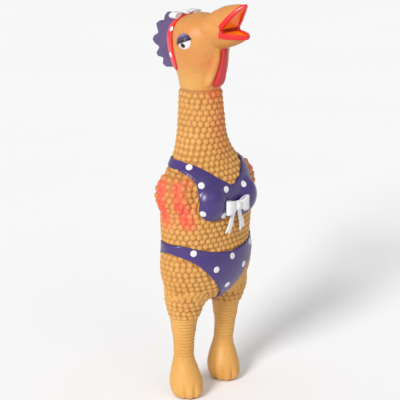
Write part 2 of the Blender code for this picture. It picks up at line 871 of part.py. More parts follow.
def hang_on_axes():
    """Puts the origin of every moving piece on the axis that it turns about."""
    head = ["head_shell", "upper_beak", "upper_beak_rim", "upper_mouth_lining"]
    head += ["comb", "headband", "wattle"]
    head += ["head_bow_loop_right", "head_bow_loop_left", "head_bow_knot"]
    head += [f"{side}_{part}" for side in ("right", "left") for part in ("eyeball", "eyelid", "pupil")]
    jaw = ["lower_beak", "lower_beak_rim", "lower_mouth_lining"]
    hung = [(["neck_lower"], 0, NECK_BEND), (["neck_upper"], 0, NECK_SWAY)]
    hung += [(head, 0, HEAD_NOD), (jaw, 0, JAW)]
    for side, word in ((-1, "right"), (1, "left")):
        hung.append(([f"{word}_shank"], side * LEG_X, KNEE))
        hung.append(([f"{word}_foot"], side * LEG_X, ANKLE))
    for names, x, axis in hung:
        at = Vector((x, axis[0] - ORIGIN_Y, axis[1])) * MM
        for name in names:
            piece = bpy.data.objects[name]
            piece.data.transform(Matrix.Translation(-at))
            piece.location = at


def main():
    clear_scene()
    torso()
    flanks()
    neck()
    head()
    beak()
    comb()
    headband()
    wattle()
    eyes()
    swimwear()
    bow("head_bow", HEAD_BOW, HEAD_LOOP, HEAD_KNOT)
    bow("chest_bow", CHEST_BOW, CHEST_LOOP, CHEST_KNOT, folded=True)
    bow_tails()
    legs()
    squeaker()
    hang_on_axes()


main()
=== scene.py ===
import math

import bmesh
import bpy
import numpy as np
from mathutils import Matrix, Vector
from mathutils.bvhtree import BVHTree
from mathutils.kdtree import KDTree


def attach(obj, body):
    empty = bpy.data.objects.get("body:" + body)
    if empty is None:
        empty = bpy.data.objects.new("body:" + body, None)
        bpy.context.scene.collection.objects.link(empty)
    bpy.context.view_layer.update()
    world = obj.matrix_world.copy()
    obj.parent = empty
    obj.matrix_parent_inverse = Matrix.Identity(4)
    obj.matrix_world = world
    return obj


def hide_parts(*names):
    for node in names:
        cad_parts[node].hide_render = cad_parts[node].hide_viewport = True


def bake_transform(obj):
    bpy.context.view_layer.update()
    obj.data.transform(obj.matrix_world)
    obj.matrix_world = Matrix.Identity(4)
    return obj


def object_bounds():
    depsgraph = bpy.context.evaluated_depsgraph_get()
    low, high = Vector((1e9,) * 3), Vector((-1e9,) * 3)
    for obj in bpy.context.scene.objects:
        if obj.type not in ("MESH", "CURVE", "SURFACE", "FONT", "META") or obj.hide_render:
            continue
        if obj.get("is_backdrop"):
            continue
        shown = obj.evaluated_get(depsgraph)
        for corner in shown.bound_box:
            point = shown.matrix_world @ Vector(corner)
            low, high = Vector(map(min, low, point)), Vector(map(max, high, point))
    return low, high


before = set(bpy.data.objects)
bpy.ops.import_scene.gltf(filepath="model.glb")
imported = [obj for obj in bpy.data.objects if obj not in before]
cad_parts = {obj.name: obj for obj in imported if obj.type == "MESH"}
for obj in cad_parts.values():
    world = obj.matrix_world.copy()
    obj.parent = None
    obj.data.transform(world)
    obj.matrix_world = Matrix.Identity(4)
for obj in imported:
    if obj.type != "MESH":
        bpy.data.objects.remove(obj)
cad_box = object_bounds()

# Shapes are made in millimetres, with y 0 at the middle of the torso. emit() moves them into the frame.
MM = 0.001
ORIGIN_Y = 7.9

# height, half width, half depth to the front, half depth to the back, y of the centre
TRUNK = (
    (108, 30, 14, 14, 0),
    (113, 44, 20, 20, 0),
    (120, 52, 26.5, 27, 0),
    (130, 57, 32, 33, 0),
    (142, 59, 35.5, 36.5, 0),
    (155, 59.5, 36.5, 37, 0),
    (171, 58, 34, 35, 0),
    (188, 58.5, 35, 36, 0),
    (205, 59, 37, 36.5, 0),
    (222, 59, 37.5, 37, 0),
    (236, 57.5, 36.5, 36, 0),
    (246, 53.5, 34.5, 34, 0.5),
    (253, 49, 32, 32.5, 1),
    (259, 43.5, 29.5, 31, 2),
    (265, 38, 27.5, 29.5, 3),
    (271, 33.5, 26.5, 28, 4),
    (278, 30, 26, 26.5, 5.5),
    (285, 27.5, 25.3, 25.3, 6.5),
    (293, 25.5, 24.6, 24.6, 7),
    (303, 24.2, 24.2, 24.2, 7.2),
    (316, 23.2, 23.2, 23.2, 7.8),
    (329, 22.4, 22.4, 22.4, 8.2),
    (338, 21.9, 21.9, 21.9, 8.4),
    (347, 22.8, 23.5, 24, 8.2),
    (356, 24.5, 25.5, 27.5, 8),
    (365, 27, 28, 32, 8),
    (375, 29, 30, 36.5, 8),
    (385, 30, 31, 39, 8),
    (394, 29.5, 31, 38.5, 8),
    (402, 26.5, 29, 33.5, 8),
    (408, 22, 25, 25.5, 8),
    (412.5, 15, 19, 15, 7),
    (415.5, 6, 9, 6.5, 5),
)
LEG_X = 34
THIGH = (
    (74, 13.2, 13.2, 13.2, 2),
    (83, 14, 14, 14, 2),
    (90, 14.9, 14.9, 14.9, 1.5),
    (97, 17.4, 17.4, 17.4, 1),
    (104, 19.6, 19.6, 19.6, 0.5),
    (111, 21.8, 21.8, 21.8, 0),
    (122, 22, 21, 21, 0),
    (133, 16, 15, 15, 0),
)
SHANK = (
    (0, 11, 14.5, 10.5, -1),
    (2.5, 13.8, 17.5, 13.5, -1),
    (7, 16, 20, 16, -1),
    (13, 17.2, 20.5, 17, -0.5),
    (20, 17.2, 19.5, 17, 0),
    (27, 15.8, 17, 16, 0.5),
    (34, 14, 14.5, 14.5, 1),
    (41, 12, 12, 12.5, 1.6),
    (48, 10.9, 10.9, 10.9, 2),
    (55, 11.2, 11.2, 11.2, 2),
    (62, 11.4, 11.4, 11.4, 2),
    (69, 11.9, 11.9, 11.9, 2),
    (76, 13, 13, 13, 2),
    (83, 14, 14, 14, 2),
    (96, 16.4, 16.4, 16.4, 1.2),
)
TOE_GROOVES = (-0.83, -0.27, 0.27, 0.83)
TOE_GROOVE_TOP = 23
HEEL_GROOVE = 1.54

# Muzzle and beak sections: middle y and z, half width, then y and z of the ridge and of the keel
MUZZLE = (
    (6, 396, 24, 6, 410, 6, 372),
    (-10, 399, 21.5, -8, 417, -12, 377),
    (-19, 400.5, 18.8, -13, 420.4, -19, 380),
    (-25, 401, 17.2, -17.5, 422.5, -24, 381.7),
    (-31, 401.5, 15.6, -25, 426.3, -31, 384),
)
UPPER_BEAK = (
    (-31.3, 402.6, 15.4, -25.4, 426),
    (-36.5, 409.2, 13.6, -32, 427.8),
    (-41.5, 415.6, 10.9, -39.5, 429.2),
    (-46.5, 421.4, 7.6, -45.5, 430),
    (-50.5, 425.4, 4.4, -50, 430.2),
    (-53.3, 427.8, 1.8, -53.3, 430),
)
LOWER_BEAK = (
    (-24, 401, 17.2, -24, 381.7),
    (-31, 401, 15.6, -31, 384),
    (-38, 400.8, 13.4, -38, 386.6),
    (-45, 400.5, 10.6, -45, 389.8),
    (-51.5, 400, 6.8, -51.5, 393.6),
    (-56.5, 399, 2, -56.5, 396.4),
)
RIM_WIDTH = 6.2
RIM_PROUD = 0.8
LIP = 3.0
MOUTH_SAG = {"upper": (0.0, 0.35), "lower": (0.2, 0.5)}

CUP = ((24, -28, 223), (18, 13.5, 19))
TOP_OUTLINE = (
    (0, 239),
    (-16, 247.5),
    (-32, 260.5),
    (-41, 264),
    (-50, 262),
    (-46, 256),
    (-40, 246),
    (-41, 232),
    (-42.5, 214),
    (-36, 206),
    (-26, 203),
    (-10, 206),
    (0, 209),
)
FRONT_END = -1.3
STRAP_OUTLINE = [
    (FRONT_END, 255.5), (FRONT_END, 263.4), (12, 263.2), (81, 262.6), (81, 254.4), (12, 255),
]
BRIEFS_OUTLINE = (
    (0, 166),
    (-30, 169),
    (-62, 180),
    (-62, 168),
    (-46, 160),
    (-30, 144),
    (-14, 127),
    (-5, 117),
    (-5, 98),
)
CLOTHES_TILT = -0.06
CLOTH = 1.8
# Dots of the swimwear and the headband: turn from the front towards the left side in degrees, and height
TOP_DOTS = (
    (-71, 262), (-54, 245), (-16, 237), (25, 237), (-52, 216),
    (-22, 210), (25, 210), (140, 260), (-173, 262), (-131, 264),
)
BRIEFS_DOTS = (
    (-63, 172), (0, 161), (-33, 151), (30, 146), (-5, 128), (55, 165),
    (125, 166), (-160, 161), (-125, 172), (145, 142), (-145, 144), (180, 128),
)
BAND_DOTS = ((-125, 400), (-125, 373), (125, 400), (125, 373))
DOT_RADIUS = 3.9

WING = ((47.5, 1, 230.5), (16.5, 24, 25.5))
COMB_PROFILE = (
    (30, 408),
    (40, 408),
    (47, 404),
    (52.8, 409),
    (57, 404),
    (58, 396.5),
    (64, 398.5),
    (69.5, 394.5),
    (66, 385),
    (73, 381),
    (75, 376.5),
    (71, 372.5),
    (64.5, 370),
    (69.5, 363),
    (67, 359.5),
    (59, 359),
    (60, 352),
    (55, 349.5),
    (43, 351),
    (34, 358),
)
COMB_RISE = 3.0
COMB_HALF = 3.8
BAND = ((31.5, 412), (24, 357), 5.6)
WATTLE_PROFILE = (
    (-10, 388),
    (-22, 386),
    (-28, 384),
    (-28.5, 376),
    (-26, 358),
    (-22.5, 344),
    (-18, 341),
    (-10, 341),
    (-4, 356),
)
WATTLE_HALF = 6
EYE = ((22.5, 5.5, 389), (10.5, 10.4, 9.8))
LASH_LINE = ((17.5, 385.0), (-3, 393.4))
LID_PROUD = 0.9
PUPIL = ((3.2, 385.6), 2.9)
HEAD_BOW = (0, 29.5, 412)
CHEST_BOW = (0, -44.5, 219)
SQUEAKER_Z = 198
FAR_FOOT_SHIFT = (-5.0, 1.5)

NUB_PITCH = 6.8
NUB_RADIUS = 3.35
NUB_HEIGHT = 2.1
NUB_WANDER = 0.4
SKIN_VOXEL = 0.8

# Heights at which the skin is divided, and two places at the root of the lower beak, the first of which sets
# where the lower beak's skin is divided off
ANKLE_CUT = 58
KNEE_CUT = 97
NECK_CUTS = (261, 309, 330, 356)
JAW_BLEND = ((0, -30.5, 399), (0, -42, 399))

# View, in metres and degrees, and lights: where each comes from, strength and angle
CAMERA_TURN = -47.8
CAMERA_RISE = 17.3
CAMERA_DISTANCE = 1.5
CAMERA_TARGET = (-0.0006, 0.0007, 0.2136)
CAMERA_LENS = 126
SUNS = {"key": ((-0.89, -0.2, 0.55), 2.55, 18), "front": ((-0.3, -0.9, 0.5), 0.2, 40)}
SKY_STRENGTH = 0.54
FLOOR_HALF = 9


# Curves and sections


def curve(knots, values, at):
    """A smooth curve through values, read at these places."""
    knots = np.asarray(knots, float)
    values = np.asarray(values, float)
    slopes = np.gradient(values, knots)
    k = np.clip(np.searchsorted(knots, at) - 1, 0, len(knots) - 2)
    span = knots[k + 1] - knots[k]
    t = (at - knots[k]) / span
    start = (2 * t**3 - 3 * t**2 + 1) * values[k] + (t**3 - 2 * t**2 + t) * span * slopes[k]
    end = (3 * t**2 - 2 * t**3) * values[k + 1] + (t**3 - t**2) * span * slopes[k + 1]
    return start + end


def dense_sections(sections, step=1.5, low=None, high=None):
    """The sections read off a smooth curve every step of height."""
    table = np.array(sections, float)
    low = table[0, 0] if low is None else low
    high = table[-1, 0] if high is None else high
    heights = np.linspace(low, high, max(2, round((high - low) / step)))
    columns = [curve(table[:, 0], table[:, k], heights) for k in range(1, 5)]
    return np.stack([heights, *columns], axis=1)


def dense_rows(sections, count):
    """Sections that aren't ordered by height, read off a smooth curve through them."""
    table = np.array(sections, float)
    at = np.linspace(0, len(table) - 1, count)
    return np.stack([curve(np.arange(len(table)), table[:, k], at) for k in range(table.shape[1])], axis=1)


def oval(section, count=96, x=0.0):
    height, half_width, front, back, y = section
    turn = 2 * np.pi * (np.arange(count) + 0.5) / count
    depth = np.where(np.sin(turn) < 0, front, back)
    return np.stack([x + half_width * np.cos(turn), y + depth * np.sin(turn), np.full(count, height)], axis=1)


# Meshes: a shape is a pair of points and faces


def loft(rings):
    """Closes the skin through rings of equal numbers of points."""
    rings = np.asarray(rings, float)
    rows, count = rings.shape[:2]
    faces = []
    for k in range(rows - 1):
        for i in range(count):
            j = (i + 1) % count
            faces.append((k * count + i, k * count + j, (k + 1) * count + j, (k + 1) * count + i))
    faces.append(tuple(range(count))[::-1])
    faces.append(tuple(range((rows - 1) * count, rows * count)))
    return rings.reshape(-1, 3), faces


def turned(sections, x=0.0, count=96):
    return loft([oval(section, count, x) for section in sections])


def ellipsoid(centre, radii, columns=64, rows=32):
    rings = []
    for k in range(1, rows):
        turn = np.pi * k / rows
        around = 2 * np.pi * np.arange(columns) / columns
        ring = [np.sin(turn) * np.cos(around), np.sin(turn) * np.sin(around), np.full(columns, -np.cos(turn))]
        rings.append(np.stack(ring, axis=1) * radii + centre)
    return loft(rings)


def prism(outline, low, high, axis=0, step=None):
    """Extrudes a flat outline along x, or along y where axis is 1."""
    outline = [tuple(map(float, point)) for point in outline]
    if step:
        outline = walk(outline, step)
    rings = []
    for depth in (low, high):
        if axis == 0:
            rings.append([(depth, u, v) for u, v in outline])
        else:
            rings.append([(u, depth, v) for u, v in outline])
    return loft(rings)


def walk(outline, step):
    """A closed outline with points added no further than step apart."""
    found = []
    for k, point in enumerate(outline):
        after = outline[(k + 1) % len(outline)]
        count = max(1, round(math.dist(point, after) / step))
        found += [tuple(np.add(point, np.subtract(after, point) * i / count)) for i in range(count)]
    return found


def rounded(outline, rounds=3, closed=True):
    """Cuts the corners of an outline again and again, which leaves a smooth curve."""
    points = [np.array(point, float) for point in outline]
    for _ in range(rounds):
        made = [] if closed else [points[0]]
        pairs = zip(points, points[1:] + points[:1]) if closed else zip(points[:-1], points[1:])
        for a, b in pairs:
            made += [a * 0.75 + b * 0.25, a * 0.25 + b * 0.75]
        if not closed:
            made.append(points[-1])
        points = made
    return [tuple(point) for point in points]


def tube(path, radii, around=12):
    """A round strand along a path, with one radius for each point."""
    path = np.asarray(path, float)
    ahead = np.gradient(path, axis=0)
    ahead /= np.linalg.norm(ahead, axis=1, keepdims=True)
    side = np.cross(ahead[0], (0.3, 0.5, 0.8))
    rings = []
    for point, direction, radius in zip(path, ahead, radii):
        side = side - direction * (side @ direction)
        side /= np.linalg.norm(side)
        other = np.cross(direction, side)
        turn = 2 * np.pi * np.arange(around) / around
        rings.append(point + radius * (np.outer(np.cos(turn), side) + np.outer(np.sin(turn), other)))
    return loft(rings)


def gather(shapes):
    points = []
    faces = []
    for some, its_faces in shapes:
        first = sum(map(len, points))
        points.append(np.asarray(some, float))
        faces += [tuple(int(i) + first for i in face) for face in its_faces]
    return np.concatenate(points), faces


def new_object(name, points, faces):
    mesh = bpy.data.meshes.new(name)
    mesh.from_pydata(np.asarray(points).tolist(), [], [tuple(map(int, face)) for face in faces])
    made = bpy.data.objects.new(name, mesh)
    bpy.context.scene.collection.objects.link(made)
    return made


def face_outwards(made):
    edit = bmesh.new()
    edit.from_mesh(made.data)
    bmesh.ops.recalc_face_normals(edit, faces=edit.faces)
    edit.to_mesh(made.data)
    edit.free()


def take_mesh(made):
    """The evaluated mesh of a helper object, which is then removed: points, triangles, their materials."""
    bpy.context.view_layer.update()
    mesh = bpy.data.meshes.new_from_object(made.evaluated_get(bpy.context.evaluated_depsgraph_get()))
    points = np.empty(len(mesh.vertices) * 3)
    mesh.vertices.foreach_get("co", points)
    quads = all(len(polygon.vertices) == 4 for polygon in mesh.polygons)
    if quads:
        faces = np.empty(len(mesh.loops), int)
        mesh.loops.foreach_get("vertex_index", faces)
        faces = faces.reshape(-1, 4)
        kinds = np.zeros(len(faces), int)
    else:
        mesh.calc_loop_triangles()
        faces = np.empty(len(mesh.loop_triangles) * 3, int)
        mesh.loop_triangles.foreach_get("vertices", faces)
        faces = faces.reshape(-1, 3)
        kinds = np.empty(len(faces), int)
        mesh.loop_triangles.foreach_get("material_index", kinds)
    bpy.data.objects.remove(made, do_unlink=True)
    return points.reshape(-1, 3), faces, kinds


def fuse(shapes, voxel):
    """One closed skin round overlapping shapes."""
    made = new_object("fused", *gather(shapes))
    remesh = made.modifiers.new("fuse", "REMESH")
    remesh.mode = "VOXEL"
    remesh.voxel_size = voxel
    points, faces, _ = take_mesh(made)
    return points, faces


def edges_of(faces):
    faces = np.asarray(faces)
    width = faces.shape[1]
    ends = np.concatenate([faces[:, [k, (k + 1) % width]] for k in range(width)])
    return np.unique(np.sort(ends, axis=1), axis=0)


def relax(points, faces, rounds, weight=1.0, hold=False):
    """Smooths by moving each point towards its neighbours. hold keeps the volume."""
    ends = edges_of(faces)
    count = np.maximum(np.bincount(ends.ravel(), minlength=len(points)), 1)[:, None]
    weight = np.broadcast_to(np.asarray(weight, float), (len(points),))[:, None]
    points = points.copy()
    for _ in range(rounds):
        for share in (0.5, -0.52) if hold else (0.5,):
            total = np.empty_like(points)
            for axis in range(3):
                total[:, axis] = np.bincount(ends[:, 0], points[ends[:, 1], axis], len(points))
                total[:, axis] += np.bincount(ends[:, 1], points[ends[:, 0], axis], len(points))
            points += (total / count - points) * share * weight
    return points


def normals_of(points, faces):
    faces = np.asarray(faces)
    corners = points[faces]
    if faces.shape[1] == 4:
        flat = np.cross(corners[:, 2] - corners[:, 0], corners[:, 3] - corners[:, 1])
    else:
        flat = np.cross(corners[:, 1] - corners[:, 0], corners[:, 2] - corners[:, 0])
    total = np.zeros_like(points)
    for k in range(faces.shape[1]):
        for axis in range(3):
            total[:, axis] += np.bincount(faces[:, k], flat[:, axis], len(points))
    return total / np.maximum(np.linalg.norm(total, axis=1, keepdims=True), 1e-12)


def ease(value, low, high):
    """0 at low, 1 at high, and smooth between."""
    t = np.clip((np.asarray(value, float) - low) / (high - low), 0, 1)
    return t * t * (3 - 2 * t)


def bump(points, centre, size):
    """1 at the centre, fading to 0 over size."""
    gone = np.linalg.norm((points - centre) / size, axis=1)
    return np.exp(-(gone**2))


def tree_of(shape):
    points, faces = shape
    return BVHTree.FromPolygons(np.asarray(points).tolist(), [list(face) for face in faces])


def emit(name, points, faces, material, normals=None, tints=None):
    """Makes a piece in the frame, with any tints as attributes for its material."""
    placed = (np.asarray(points, float) - (0, ORIGIN_Y, 0)) * MM
    made = new_object(name, placed, faces)
    made.data.shade_smooth()
    for tint, values in (tints or {}).items():
        attribute = made.data.attributes.new(tint, "FLOAT", "POINT")
        attribute.data.foreach_set("value", np.asarray(values, np.float32))
    if normals is not None:
        made.data.normals_split_custom_set_from_vertices(normals.tolist())
    made.data.materials.append(material)
    return made


def fit(piece, body, node):
    """The piece moves with a body and stands in for a CAD node, which is hidden."""
    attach(piece, body)
    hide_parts(node)


def at(x, y, z):
    """A point of the frame, from millimetres."""
    return (x * MM, (y - ORIGIN_Y) * MM, z * MM)


# Materials


def linear(red, green, blue):
    """A colour given as it looks on a screen, from 0 to 255."""
    return tuple(((c / 255 + 0.055) / 1.055) ** 2.4 if c > 10 else c / 3295 for c in (red, green, blue))


class Shader:
    """A node material under construction."""

    def __init__(self, name, roughness, coat=0.0):
        self.material = bpy.data.materials.new(name)
        self.material.use_nodes = True
        self.tree = self.material.node_tree
        self.surface = self.tree.nodes["Principled BSDF"]
        self.surface.inputs["Roughness"].default_value = roughness
        self.surface.inputs["Coat Weight"].default_value = coat
        self.surface.inputs["Coat Roughness"].default_value = 0.2
        self.place = self.tree.nodes.new("ShaderNodeTexCoord").outputs["Object"]

    def noise(self, scale, detail=3.0, stretch=None):
        node = self.tree.nodes.new("ShaderNodeTexNoise")
        node.inputs["Scale"].default_value = scale
        node.inputs["Detail"].default_value = detail
        place = self.place
        if stretch:
            mapping = self.tree.nodes.new("ShaderNodeMapping")
            mapping.inputs["Scale"].default_value = stretch
            self.tree.links.new(place, mapping.inputs["Vector"])
            place = mapping.outputs["Vector"]
        self.tree.links.new(place, node.inputs["Vector"])
        return node.outputs["Fac"]

    def tint(self, name):
        node = self.tree.nodes.new("ShaderNodeAttribute")
        node.attribute_name = name
        return node.outputs["Fac"]

    def spread(self, value, low, high, out_low=0.0, out_high=1.0):
        node = self.tree.nodes.new("ShaderNodeMapRange")
        node.inputs["From Min"].default_value = low
        node.inputs["From Max"].default_value = high
        node.inputs["To Min"].default_value = out_low
        node.inputs["To Max"].default_value = out_high
        self.tree.links.new(value, node.inputs["Value"])
        return node.outputs["Result"]

    def times(self, one, other):
        node = self.tree.nodes.new("ShaderNodeMath")
        node.operation = "MULTIPLY"
        self.tree.links.new(one, node.inputs[0])
        if isinstance(other, float):
            node.inputs[1].default_value = other
        else:
            self.tree.links.new(other, node.inputs[1])
        return node.outputs["Value"]

    def mix(self, factor, one, other):
        node = self.tree.nodes.new("ShaderNodeMix")
        node.data_type = "RGBA"
        self.tree.links.new(factor, node.inputs[0])
        for socket, colour in ((node.inputs[6], one), (node.inputs[7], other)):
            if isinstance(colour, tuple):
                socket.default_value = (*colour, 1)
            else:
                self.tree.links.new(colour, socket)
        return node.outputs[2]

    def finish(self, colour, grain_scale, grain_depth, roughness=None):
        self.tree.links.new(colour, self.surface.inputs["Base Color"])
        node = self.tree.nodes.new("ShaderNodeBump")
        node.inputs["Strength"].default_value = 0.5
        node.inputs["Distance"].default_value = grain_depth * MM
        self.tree.links.new(self.noise(grain_scale), node.inputs["Height"])
        self.tree.links.new(node.outputs["Normal"], self.surface.inputs["Normal"])
        if roughness:
            low, high = roughness
            spots = self.spread(self.noise(55.0), 0.3, 0.7, low, high)
            self.tree.links.new(spots, self.surface.inputs["Roughness"])
        return self.material


def rubber(name, colour, deep, roughness=(0.35, 0.5), coat=0.0, grain=(700.0, 0.06), soft=0.0):
    """Coloured rubber or paint: two close tones in soft clouds, a fine grain and uneven gloss."""
    shader = Shader(name, roughness[0], coat)
    clouds = shader.spread(shader.noise(38.0), 0.3, 0.7)
    specks = shader.spread(shader.noise(420.0, 2.0), 0.35, 0.75, 0.0, 0.35)
    tone = shader.mix(clouds, linear(*colour), linear(*deep))
    tone = shader.mix(specks, tone, linear(*deep))
    shader.surface.inputs["Subsurface Weight"].default_value = soft
    shader.surface.inputs["Subsurface Scale"].default_value = 0.003
    return shader.finish(tone, *grain, roughness)


def latex_skin():
    """Tan latex with painted shade between its nubs, with airbrushed blush, wing paint and toe edges."""
    shader = Shader("latex_skin", 0.42)
    clouds = shader.spread(shader.noise(24.0), 0.3, 0.7)
    tone = shader.mix(clouds, linear(214, 161, 82), linear(204, 146, 68))
    specks = shader.spread(shader.noise(300.0, 2.0), 0.4, 0.75, 0.0, 0.25)
    tone = shader.mix(specks, tone, linear(226, 172, 100))
    # Painted shade: a darker brown laid between the nubs and in the shank grooves, and the same dark tone
    # over the head.
    tone = shader.mix(shader.times(shader.tint("crevice_shade"), 0.55), tone, linear(146, 86, 38))
    rough_edge = shader.spread(shader.noise(160.0, 2.0), 0.35, 0.65, 0.55, 1.0)
    tone = shader.mix(shader.times(shader.tint("blush"), rough_edge), tone, linear(214, 84, 40))
    patches = shader.spread(shader.noise(110.0, 2.0, (1.0, 1.0, 0.6)), 0.34, 0.52, 0.6, 1.0)
    tone = shader.mix(shader.times(shader.tint("paint"), patches), tone, linear(232, 84, 66))
    # The bottom 2 mm of the feet turn a dark purple-brown, a little lighter at the very bottom.
    tone = shader.mix(shader.tint("sole"), tone, linear(112, 70, 62))
    shader.surface.inputs["Subsurface Weight"].default_value = 0.12
    shader.surface.inputs["Subsurface Radius"].default_value = (1.0, 0.45, 0.2)
    shader.surface.inputs["Subsurface Scale"].default_value = 0.003
    return shader.finish(tone, 650.0, 0.08, (0.42, 0.56))


def eyelid():
    """Painted eyelid: a dark band above the lashes, and a painted highlight that makes its top paler."""
    shader = Shader("eyelid_purple", 0.4)
    clouds = shader.spread(shader.noise(60.0), 0.3, 0.7)
    dark = shader.mix(clouds, linear(74, 56, 98), linear(54, 38, 74))
    # Painted highlight: the pale lavender that the top of the lid turns to.
    lid_highlight = shader.mix(clouds, linear(158, 138, 172), linear(134, 114, 150))
    tone = shader.mix(shader.tint("lid_highlight"), dark, lid_highlight)
    return shader.finish(tone, 700.0, 0.05, (0.34, 0.46))


SKIN = latex_skin()
PURPLE = rubber("purple_rubber", (68, 46, 118), (56, 38, 102), (0.28, 0.4), 0.25)
COMB = rubber("comb_purple", (98, 80, 124), (84, 66, 108), (0.42, 0.55))
LID = eyelid()
RED = rubber("red_rubber", (240, 28, 30), (216, 18, 24), (0.3, 0.42), 0.2)
WATTLE = rubber("wattle_red", (202, 44, 48), (172, 28, 40), (0.36, 0.48), 0.1)
ORANGE = rubber("mouth_orange", (255, 142, 22), (250, 116, 10), (0.3, 0.42), 0.1)
WHITE = rubber("white_rubber", (236, 234, 236), (212, 210, 214), (0.38, 0.5))
EYE_WHITE = rubber("eye_white", (238, 232, 236), (222, 214, 222), (0.25, 0.35), 0.3)
BLACK = rubber("eye_black", (22, 18, 20), (10, 8, 10), (0.25, 0.35), 0.3)
PLASTIC = rubber("squeaker_plastic", (226, 224, 214), (206, 204, 194), (0.28, 0.36), 0.0, (900.0, 0.03))


# Skin


def inside(outline, x, z):
    """Which places lie inside a closed outline."""
    found = np.zeros(len(x), bool)
    for (x1, z1), (x2, z2) in zip(outline, outline[1:] + outline[:1]):
        crosses = (z1 > z) != (z2 > z)
        with np.errstate(divide="ignore", invalid="ignore"):
            found ^= crosses & (x < (x2 - x1) * (z - z1) / (z2 - z1) + x1)
    return found


def clothing_outline(outline, rounds=2):
    """Both halves of a mirrored outline with eased corners, sloped as the swimwear sits on the body."""
    half = rounded(outline, rounds, closed=False)
    other = [(-x, z) for x, z in reversed(half) if abs(x) > 1e-6]
    return [(x, z + CLOTHES_TILT * x) for x, z in [*half, *other]]


TOP = clothing_outline(TOP_OUTLINE)
BRIEFS = clothing_outline(BRIEFS_OUTLINE)


def covered(points):
    """Where the swimwear lies on the skin."""
    x, y, z = points.T
    strap = inside(STRAP_OUTLINE, y, z - CLOTHES_TILT * x)
    return (inside(TOP, x, z) & (y < FRONT_END)) | strap | inside(BRIEFS, x, z)


def trunk_radius(points):
    """How far out a point is, as a share of the trunk's own section."""
    x, y, z = points.T
    table = np.array(TRUNK, float)
    a, f, b, middle = (curve(table[:, 0], table[:, k], np.clip(z, 108, 415)) for k in range(1, 5))
    depth = np.where(y < middle, f, b)
    return np.hypot(x / a, (y - middle) / depth), a


def nub_rows(sections, low, high, x=0.0):
    """Nub centres in staggered rows up a turned shape."""
    table = dense_sections(sections, 0.5, low, high)
    mean = table[:, 1:4].mean(axis=1)
    along = np.concatenate([[0], np.cumsum(np.hypot(np.diff(table[:, 0]), np.diff(mean)))])
    step = NUB_PITCH * math.sqrt(3) / 2
    found = []
    for k in range(int(along[-1] / step) + 1):
        row = [np.interp(k * step, along, table[:, column]) for column in range(5)]
        ring = oval(row, 360, x)
        ring = np.roll(ring, -270, axis=0)
        ring = np.concatenate([ring, ring[:1]])
        walked = np.concatenate([[0], np.cumsum(np.linalg.norm(np.diff(ring, axis=0), axis=1))])
        count = 2 * round(walked[-1] / NUB_PITCH / 2)
        places = (np.arange(count) + 0.5 * (k % 2)) / count * walked[-1]
        found.append(np.stack([np.interp(places, walked, ring[:, axis]) for axis in range(3)], axis=1))
    found = np.concatenate(found)
    return found + np.random.default_rng(7).uniform(-NUB_WANDER, NUB_WANDER, found.shape)


def toed(section, x):
    """A foot section whose front is pinched into toes."""
    ring = oval(section, 96, x)
    out = ring - (x, section[4], section[0])
    turn = np.arctan2(out[:, 0], -out[:, 1])
    deep = 2.4 * ease(TOE_GROOVE_TOP - section[0], 0, 14)
    pull = deep * sum(np.exp(-(((turn - groove) / 0.1) ** 2)) for groove in TOE_GROOVES)
    heel = 2.6 * ease(38 - section[0], 0, 16)
    pull += heel * np.exp(-(((turn + math.copysign(HEEL_GROOVE, x)) / 0.13) ** 2))
    length = np.linalg.norm(out, axis=1)
    return ring - out * (pull / length)[:, None]


def beak_arc(row, turns, inset):
    """Points on a beak section between turn 0 and pi, its two edges, inset from its outside."""
    y, z, half_width, apex_y, apex_z = row
    reach = math.hypot(apex_y - y, apex_z - z)
    share = np.sin(turns) * max(reach - inset, 0.3) / reach
    width = max(half_width - inset, 0.3)
    return np.stack([width * np.cos(turns), y + (apex_y - y) * share, z + (apex_z - z) * share], axis=1)


def beak_body(sections, sag_span):
    """The closed body of half a beak, hollowed towards the mouth."""
    rings = []
    for k, row in enumerate(dense_rows(sections, 40)):
        y, z, half_width, apex_y, apex_z = row
        outer = beak_arc(row, np.linspace(0, np.pi, 25), 0)
        rise = np.sin(np.linspace(np.pi, 0, 25))
        sag = 0.1 + (0.1 + 0.26 * rise) * ease(k / 39, *sag_span)
        across = np.linspace(-half_width, half_width, 25) * 0.96
        inner = np.stack([across, y + (apex_y - y) * sag, z + (apex_z - z) * sag], axis=1)
        rings.append(np.concatenate([outer, inner[1:-1]]))
    return loft(rings)


def muzzle():
    rings = []
    for y, z, half_width, ridge_y, ridge_z, keel_y, keel_z in dense_rows(MUZZLE, 24):
        turn = 2 * np.pi * np.arange(96) / 96
        up = np.sin(turn) > 0
        share = np.abs(np.sin(turn))
        across = half_width * np.cos(turn)
        along = y + (np.where(up, ridge_y, keel_y) - y) * share
        height = z + (np.where(up, ridge_z, keel_z) - z) * share
        rings.append(np.stack([across, along, height], axis=1))
    return loft(rings)


def wattle_folds():
    """The raised folds of skin that run down beside the wattle."""
    folds = []
    for side in (-1, 1):
        path = rounded(
            [
                (side * 6.5, -21, 384),
                (side * 6.5, -20.5, 374),
                (side * 7.5, -17.5, 363),
                (side * 9, -14, 352),
                (side * 10.5, -10.5, 342),
            ],
            2,
            closed=False,
        )
        radii = 1.5 + 3.0 * np.sin(np.linspace(0.15, np.pi - 0.25, len(path)))
        folds.append(tube(path, radii, 16))
    return folds


